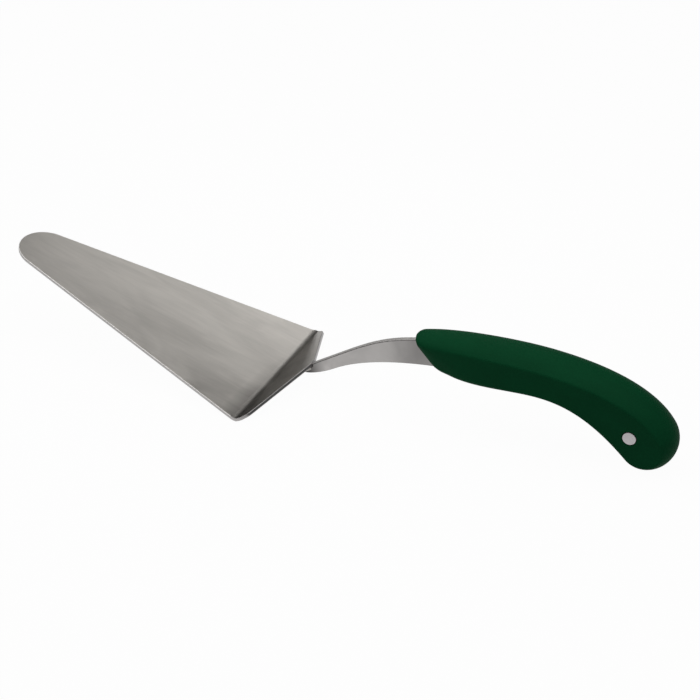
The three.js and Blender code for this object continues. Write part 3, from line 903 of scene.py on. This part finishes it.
def rivet_half(server, plan, profile, hand):
    """One half of the rivet, spun from a profile of distances from its axis and places across the server."""
    bm = bmesh.new()
    verts = [bm.verts.new(plan.rivet + Vector((radius, hand * across, 0))) for radius, across in profile]
    edges = [bm.edges.new(pair) for pair in zip(verts, verts[1:])]
    bmesh.ops.spin(
        bm, geom=verts + edges, cent=plan.rivet, axis=(0, 1, 0), angle=2 * math.pi, steps=ROUND_STEPS,
        use_merge=True,
    )
    bmesh.ops.remove_doubles(bm, verts=bm.verts, dist=SAME_PLACE)
    bmesh.ops.recalc_face_normals(bm, faces=bm.faces)
    outside = hand * server.grip.width / 2
    rim = [edge for edge in bm.edges if on_side(edge, outside) and edge.calc_face_angle(0) > SHARP]
    round_off(bm, rim, server.rivet.edge_round, EDGE_STEPS)
    return bm


def fill_inputs(tree, node, inputs):
    """Sets a node's inputs to values, or links them to other nodes' outputs."""
    for name, value in inputs.items():
        socket = node.inputs[name]
        if isinstance(value, bpy.types.NodeSocket):
            tree.links.new(value, socket)
        else:
            socket.default_value = value


def add_node(tree, kind, inputs, **settings):
    """Adds a node with its settings and inputs."""
    node = tree.nodes.new(kind)
    for name, value in settings.items():
        setattr(node, name, value)
    fill_inputs(tree, node, inputs)
    return node


def new_finish(name):
    """A material with a bare shader, its node tree and its shader."""
    material = bpy.data.materials.new(name)
    material.use_nodes = True
    tree = material.node_tree
    return material, tree, tree.nodes["Principled BSDF"]


def mapped(tree, place, **inputs):
    """Coordinates moved, turned or scaled."""
    return add_node(tree, "ShaderNodeMapping", {"Vector": place, **inputs}).outputs["Vector"]


def place_on_piece(tree):
    """Coordinates of the row frame."""
    return add_node(tree, "ShaderNodeTexCoord", {}).outputs["Object"]


def place_on_blade(tree):
    """Coordinates along, across and off the blade."""
    to_blade = TO_ROW.inverted().translation
    return mapped(tree, place_on_piece(tree), Rotation=(0, -TILT, 0), Location=to_blade)


def distance_to(tree, place):
    """Distance of coordinates from their middle."""
    return add_node(tree, "ShaderNodeVectorMath", {0: place}, operation="LENGTH").outputs["Value"]


def noise(tree, place, scale=1.0, detail=2.0, roughness=0.5, distortion=0.0):
    """A soft random pattern between 0 and 1."""
    inputs = {
        "Vector": place, "Scale": scale, "Detail": detail, "Roughness": roughness, "Distortion": distortion,
    }
    return add_node(tree, "ShaderNodeTexNoise", inputs).outputs["Fac"]


def spread(tree, value, low, high, start=0.3, end=0.7):
    """A pattern's values from start to end, spread between two levels."""
    inputs = {"Value": value, "From Min": start, "From Max": end, "To Min": low, "To Max": high}
    return add_node(tree, "ShaderNodeMapRange", inputs).outputs["Result"]


def combine(tree, operation, first, second):
    """Two patterns put together."""
    return add_node(tree, "ShaderNodeMath", {0: first, 1: second}, operation=operation).outputs["Value"]


def near(tree, place, patch):
    """1 in the middle of a patch, falling to 0 at its reach along each axis, where 0 leaves an axis out."""
    scale = [1 / reach if reach else 0 for reach in patch.reach]
    shift = [-part * along for part, along in zip(patch.centre, scale)]
    distance = distance_to(tree, mapped(tree, place, Scale=scale, Location=shift))
    return spread(tree, distance, 1, 0, start=patch.full, end=1)


def painted_shade(tree, colour, place, patch):
    """A colour darkened in a patch: painted shade."""
    tone = spread(tree, near(tree, place, patch), 1, patch.tone, start=0, end=1)
    scaled = add_node(tree, "ShaderNodeVectorMath", {0: colour, "Scale": tone}, operation="SCALE")
    return scaled.outputs["Vector"]


def shade(colour, amount):
    """A colour made lighter or darker."""
    return [min(part * amount, 1) for part in colour] + [1]


def colours(tree, value, low, high):
    """A blend of two colours by a pattern."""
    ramp = add_node(tree, "ShaderNodeValToRGB", {"Fac": value})
    ramp.color_ramp.elements[0].color = low
    ramp.color_ramp.elements[1].color = high
    return ramp.outputs["Color"]


def relief(tree, height, depth, **under):
    """Bumps of a depth in metres from a pattern, over other bumps given as Normal."""
    inputs = {"Height": height, "Distance": depth, "Strength": 1.0, **under}
    return add_node(tree, "ShaderNodeBump", inputs).outputs["Normal"]


def satin_steel(name, colour, streaks, clouds, rough, patches):
    """Brushed steel with fine streaks, cloudy marks from polishing, and patches of painted shade in its
    colour.
    """
    material, tree, shader = new_finish(name)
    place = place_on_blade(tree)
    cloudy = mapped(tree, place, Scale=clouds)
    fine = noise(tree, mapped(tree, place, Scale=streaks), roughness=0.6)
    long = spread(tree, noise(tree, cloudy, detail=3.0, distortion=0.9), 0, 0.45, **CLOUD_FADE)
    wide = spread(tree, noise(tree, cloudy, scale=0.35), 0, 0.35, **CLOUD_FADE)
    mixed = combine(tree, "ADD", spread(tree, fine, 0, 0.2), combine(tree, "ADD", long, wide))
    base = colours(tree, mixed, shade(colour, 0.8), shade(colour, 1.18))
    # Painted shade: the colour is darkened in each patch
    for patch in patches:
        base = painted_shade(tree, base, place, patch)
    waves = relief(tree, noise(tree, cloudy, detail=0.0), depth=3.0e-5)
    fill_inputs(tree, shader, {
        "Base Color": base,
        "Roughness": spread(tree, mixed, rough - SATIN_STRAY, rough + SATIN_STRAY, start=0, end=1),
        "Normal": relief(tree, fine, depth=6.0e-7, Normal=waves),
        "Metallic": 1,
    })
    return material


def ground_steel(name, colour, rough):
    """Plain steel edges with fine lines across them."""
    material, tree, shader = new_finish(name)
    lines = noise(tree, mapped(tree, place_on_blade(tree), Scale=GROUND_LINES))
    fill_inputs(tree, shader, {
        "Base Color": colours(tree, lines, shade(colour, 0.92), shade(colour, 1.05)),
        "Roughness": spread(tree, lines, rough - GROUND_STRAY, rough + GROUND_STRAY),
        "Metallic": 1,
    })
    return material


def weld_metal(name, colour, heat):
    """Weld metal with heat tint in patches."""
    material, tree, shader = new_finish(name)
    place = place_on_blade(tree)
    patches = noise(tree, place, scale=600, detail=3.0)
    grain = noise(tree, place, scale=4000)
    fill_inputs(tree, shader, {
        "Base Color": colours(tree, patches, shade(heat, 1), shade(colour, 1)),
        "Roughness": spread(tree, grain, 0.38, 0.55),
        "Normal": relief(tree, grain, depth=1.5e-5),
        "Metallic": 1,
    })
    return material


def turned_steel(name, colour, centre):
    """Turned steel: fine rings about the rivet's axis and soft patches."""
    material, tree, shader = new_finish(name)
    centred = mapped(tree, place_on_piece(tree), Location=-centre)
    radius = distance_to(tree, mapped(tree, centred, Scale=(1, 0, 1)))
    inputs = {"W": radius, "Scale": 9000, "Detail": 2.0}
    rings = add_node(tree, "ShaderNodeTexNoise", inputs, noise_dimensions="1D").outputs["Fac"]
    patches = noise(tree, centred, scale=700, detail=3.0)
    mixed = combine(tree, "ADD", spread(tree, rings, 0, 0.4), spread(tree, patches, 0, 0.6))
    fill_inputs(tree, shader, {
        "Base Color": colours(tree, mixed, shade(colour, 0.86), shade(colour, 1.04)),
        "Roughness": spread(tree, mixed, 0.30, 0.44, start=0, end=1),
        "Normal": relief(tree, rings, depth=1.5e-6),
        "Metallic": 1,
    })
    return material


def soft_rubber(name, colour):
    """Matte soft-touch skin with a fine moulded grain and faint handling marks."""
    material, tree, shader = new_finish(name)
    place = place_on_blade(tree)
    grain = noise(tree, place, scale=3200, roughness=0.6)
    marks = noise(tree, mapped(tree, place, Scale=HANDLING_MARKS), detail=3.0, distortion=0.8)
    mixed = combine(tree, "ADD", spread(tree, grain, 0, 0.5), spread(tree, marks, 0, 0.5))
    fill_inputs(tree, shader, {
        "Base Color": colours(tree, mixed, shade(colour, 0.86), shade(colour, 1.12)),
        "Roughness": spread(tree, mixed, 0.52, 0.66, start=0, end=1),
        "Normal": relief(tree, grain, depth=6.0e-6),
        "Specular IOR Level": 0.02,
    })
    return material


def hard_plastic(name, colour):
    """Plain moulded plastic with a faint flow pattern."""
    material, tree, shader = new_finish(name)
    place = place_on_blade(tree)
    flow = noise(tree, mapped(tree, place, Scale=CORE_FLOW), detail=3.0)
    grain = noise(tree, place, scale=2500)
    fill_inputs(tree, shader, {
        "Base Color": colours(tree, flow, shade(colour, 0.85), shade(colour, 1.15)),
        "Roughness": spread(tree, grain, 0.45, 0.6),
        "Normal": relief(tree, grain, depth=1.0e-5),
    })
    return material


class SERVER_OT_blade(bpy.types.Operator):
    """Folded blade of satin steel with ground edges"""

    bl_idname = "server.blade"
    bl_label = "Blade"

    def execute(self, context):
        server = context.scene.server
        blade, finishes = server.blade, server.finishes
        # Painted shade: a darker patch in the blade's colour round the fold's near end stands in for a dark
        # reflection there
        near_end = (finishes.fold_shade_past, -blade.width / 2, 0)
        fold = SimpleNamespace(centre=near_end, reach=FOLD_SHADE_REACH, full=0.2, tone=finishes.fold_shade_tone)
        rough = finishes.blade_rough
        materials = [
            satin_steel("blade_satin", finishes.blade, BLADE_STREAKS, BLADE_CLOUDS, rough, [fold]),
            ground_steel("blade_rim", finishes.rim, finishes.rim_rough),
            # Painted highlight on the upper corner of the blade's edges
            ground_steel("blade_corner_highlight", finishes.rim_corner_highlight, finishes.rim_rough),
        ]
        add_piece("folded_blade", blade_solid(blade, lay_out(server)), materials, "blade_steel", "blade")
        return {"FINISHED"}


class SERVER_OT_bar(bpy.types.Operator):
    """Flat bar of satin steel from the flange to the rivet"""

    bl_idname = "server.bar"
    bl_label = "Bar"

    def execute(self, context):
        server = context.scene.server
        bar, finishes = server.bar, server.finishes
        plan = lay_out(server)
        outline = bar_edges(server, plan)
        holes = [round_hole(plan.rivet, server.rivet.tube / 2 + bar.gap)]
        for distance in (bar.front_peg, bar.back_peg):
            holes.append(round_hole(plan.grip_middle(distance), bar.peg_diameter / 2 + bar.gap))
        plate = plate_solid("curved_bar", [outline] + holes, bar.thickness, bar.edge_round)
        for face in plate.faces:
            lean = abs(face.normal.y)
            face.material_index = 1 if lean < BAR_EDGE_LEAN else 2 if lean < BAR_SIDE_LEAN else 0
        toe = outline[TOE][0]
        nose = (plan.grip_start + plan.belly_start) / 2
        # Painted shade: darker patches in the bar's colour at its toe under the flange and where it goes
        # into the grip
        patches = [
            SimpleNamespace(centre=toe, reach=TOE_SHADE_REACH, full=0.32, tone=finishes.toe_shade_tone),
            SimpleNamespace(centre=nose, reach=NOSE_SHADE_REACH, full=0.1, tone=finishes.nose_shade_tone),
        ]
        materials = [
            satin_steel("bar_satin", finishes.bar, BAR_STREAKS, BAR_CLOUDS, finishes.bar_rough, patches),
            ground_steel("bar_edge", finishes.bar_edge, finishes.bar_edge_rough),
            ground_steel("bar_corner", finishes.bar_corner, finishes.bar_corner_rough),
        ]
        add_piece("curved_bar", plate, materials, "bar_steel", "tang_bar")
        return {"FINISHED"}


class SERVER_OT_welds(bpy.types.Operator):
    """Two weld fillets between the bar and the back of the flange"""

    bl_idname = "server.welds"
    bl_label = "Welds"

    def execute(self, context):
        server = context.scene.server
        plan = lay_out(server)
        metal = weld_metal("weld_metal", server.finishes.weld, server.finishes.weld_heat)
        for hand, name, node in ((1, "weld_left", "weld_bead_left"), (-1, "weld_right", "weld_bead_right")):
            add_piece(name, weld_solid(server, plan, hand), [metal], "weld_steel", node)
        return {"FINISHED"}


class SERVER_OT_grip(bpy.types.Operator):
    """Soft green grip with a ridge along its sides"""

    bl_idname = "server.grip"
    bl_label = "Grip"

    def execute(self, context):
        server = context.scene.server
        skin = soft_rubber("grip_soft", server.finishes.grip)
        add_piece("soft_grip", grip_solid(server, lay_out(server)), [skin], "soft_grip", "grip_skin")
        return {"FINISHED"}


class SERVER_OT_rivet(bpy.types.Operator):
    """Two rivet halves with turned heads, flush with the grip's sides"""

    bl_idname = "server.rivet"
    bl_label = "Rivet"

    def execute(self, context):
        server = context.scene.server
        rivet = server.rivet
        plan = lay_out(server)
        steel = turned_steel("rivet_turned", server.finishes.rivet, TO_ROW @ plan.rivet)
        outside = server.grip.width / 2
        seat = outside - rivet.head
        tube = rivet.tube / 2
        bore = tube - rivet.tube_wall
        head = tube + rivet.lip
        pin = bore - rivet.gap
        reach = rivet.overlap / 2
        stud = [(0, outside), (head, outside), (head, seat), (pin, seat), (pin, -reach), (0, -reach)]
        socket = [
            (0, reach + rivet.gap), (bore, reach + rivet.gap), (bore, -reach), (tube, -reach), (tube, seat),
            (head, seat), (head, outside), (0, outside),
        ]
        halves = ((-1, "rivet_near", stud, "rivet_stud"), (1, "rivet_far", socket, "rivet_socket"))
        for hand, name, profile, node in halves:
            add_piece(name, rivet_half(server, plan, profile, hand), [steel], "rivet_steel", node)
        return {"FINISHED"}


class SERVER_OT_core(bpy.types.Operator):
    """Finish of the two hard core halves inside the grip"""

    bl_idname = "server.core"
    bl_label = "Core"

    def execute(self, context):
        plastic = hard_plastic("core_plastic", context.scene.server.finishes.core)
        for name in ("grip_core_left", "grip_core_right"):
            for slot in frame["nodes"][name].material_slots:
                slot.material = plastic
        return {"FINISHED"}


def floor_finish(colour, white):
    """Pale floor that keeps shadows, and shows white to the camera and in reflections."""
    material, tree, shader = new_finish("floor_pale")
    fill_inputs(tree, shader, {"Base Color": shade(colour, 1), "Roughness": 0.9, "Specular IOR Level": 0.1})
    path = add_node(tree, "ShaderNodeLightPath", {})
    seen = combine(tree, "MAXIMUM", path.outputs["Is Camera Ray"], path.outputs["Is Glossy Ray"])
    seen = combine(tree, "MAXIMUM", seen, path.outputs["Is Transmission Ray"])
    glow = add_node(tree, "ShaderNodeEmission", {"Color": (1, 1, 1, 1), "Strength": 1.0})
    part = combine(tree, "MULTIPLY", seen, white)
    inputs = {0: part, 1: shader.outputs["BSDF"], 2: glow.outputs["Emission"]}
    mix = add_node(tree, "ShaderNodeMixShader", inputs)
    tree.links.new(mix.outputs["Shader"], tree.nodes["Material Output"].inputs["Surface"])
    return material


def add_floor(stage):
    """The pale floor under the server."""
    bm = bmesh.new()
    bmesh.ops.create_circle(bm, cap_ends=True, segments=ROUND_STEPS, radius=stage.floor_radius)
    mesh = bpy.data.meshes.new("floor")
    bm.to_mesh(mesh)
    bm.free()
    mesh.materials.append(floor_finish(stage.floor, stage.floor_white))
    floor = bpy.data.objects.new("floor", mesh)
    bpy.context.scene.collection.objects.link(floor)


def add_camera(stage):
    """The camera, placed round its aim."""
    level = math.cos(stage.elevation)
    back = Vector((
        math.sin(stage.azimuth) * level, -math.cos(stage.azimuth) * level, math.sin(stage.elevation)
    ))
    lens = bpy.data.cameras.new("camera")
    lens.lens = stage.lens
    lens.clip_start = 0.01
    lens.clip_end = 100
    camera = bpy.data.objects.new("camera", lens)
    turn = (-back).to_track_quat("-Z", "Y").to_matrix() @ Matrix.Rotation(stage.roll, 3, "Z")
    camera.matrix_world = Matrix.Translation(stage.aim + back * stage.distance) @ turn.to_4x4()
    bpy.context.scene.collection.objects.link(camera)
    bpy.context.scene.camera = camera


def soft_light(name, place, aim, size, watts, roll=0):
    """A rectangular soft light that the camera doesn't see, turned in its own plane by a roll."""
    light = bpy.data.lights.new(name, "AREA")
    light.shape = "RECTANGLE"
    light.size, light.size_y = size
    light.energy = watts
    lamp = bpy.data.objects.new(name, light)
    lamp.location = place
    turn = (aim - place).to_track_quat("-Z", "Y").to_matrix()
    lamp.rotation_euler = (turn @ Matrix.Rotation(roll, 3, "Z")).to_euler()
    lamp.visible_camera = False
    bpy.context.scene.collection.objects.link(lamp)


def add_lights(stage):
    """The room's faint light, two large soft lights above and two small ones behind."""
    world = bpy.data.worlds.new("room")
    world.use_nodes = True
    world.node_tree.nodes["Background"].inputs["Color"].default_value = shade(stage.room, 1)
    bpy.context.scene.world = world
    soft_light("key", stage.key_place, stage.light_aim, stage.key_size, stage.key_power)
    soft_light("fill", stage.fill_place, stage.light_aim, stage.fill_size, stage.fill_power)
    low_aim, high_aim = stage.low_place - sideways(1), stage.high_place - sideways(1)
    soft_light("back_low", stage.low_place, low_aim, stage.low_size, stage.low_power)
    soft_light("back_high", stage.high_place, high_aim, stage.high_size, stage.high_power, stage.high_roll)


class SERVER_OT_stage(bpy.types.Operator):
    """Camera, pale floor and soft studio light"""

    bl_idname = "server.stage"
    bl_label = "Stage"

    def execute(self, context):
        stage = context.scene.server.stage
        context.scene.view_settings.view_transform = "Standard"
        add_camera(stage)
        add_floor(stage)
        add_lights(stage)
        return {"FINISHED"}


class SERVER_PT_sidebar(bpy.types.Panel):
    """Lists the server's pieces and their settings"""

    bl_idname = "SERVER_PT_sidebar"
    bl_label = "Pizza Server"
    bl_space_type = "VIEW_3D"
    bl_region_type = "UI"
    bl_category = "Server"

    def draw(self, context):
        server = context.scene.server
        for operator in OPERATORS:
            self.layout.operator(operator.bl_idname)
        for name in ("blade", "bar", "weld", "grip", "rivet", "finishes", "stage"):
            group = getattr(server, name)
            box = self.layout.box()
            box.label(text=name.capitalize())
            for setting in group.bl_rna.properties:
                if setting.identifier not in ("rna_type", "name"):
                    box.prop(group, setting.identifier)


OPERATORS = (
    SERVER_OT_stage,
    SERVER_OT_blade,
    SERVER_OT_bar,
    SERVER_OT_welds,
    SERVER_OT_grip,
    SERVER_OT_rivet,
    SERVER_OT_core,
)
GROUPS = (BladeSizes, BarSizes, WeldSizes, GripSizes, RivetSizes, Finishes, StageSettings, Server)
CLASSES = GROUPS + OPERATORS + (SERVER_PT_sidebar,)


def register():
    for cls in CLASSES:
        bpy.utils.register_class(cls)
    bpy.types.Scene.server = PointerProperty(type=Server)


def unregister():
    del bpy.types.Scene.server
    for cls in reversed(CLASSES):
        bpy.utils.unregister_class(cls)


def main():
    register()
    bpy.ops.server.stage()
    bpy.ops.server.blade()
    bpy.ops.server.bar()
    bpy.ops.server.welds()
    bpy.ops.server.grip()
    bpy.ops.server.rivet()
    bpy.ops.server.core()
    bpy.context.view_layer.update()


if __name__ == "__main__":
    main()
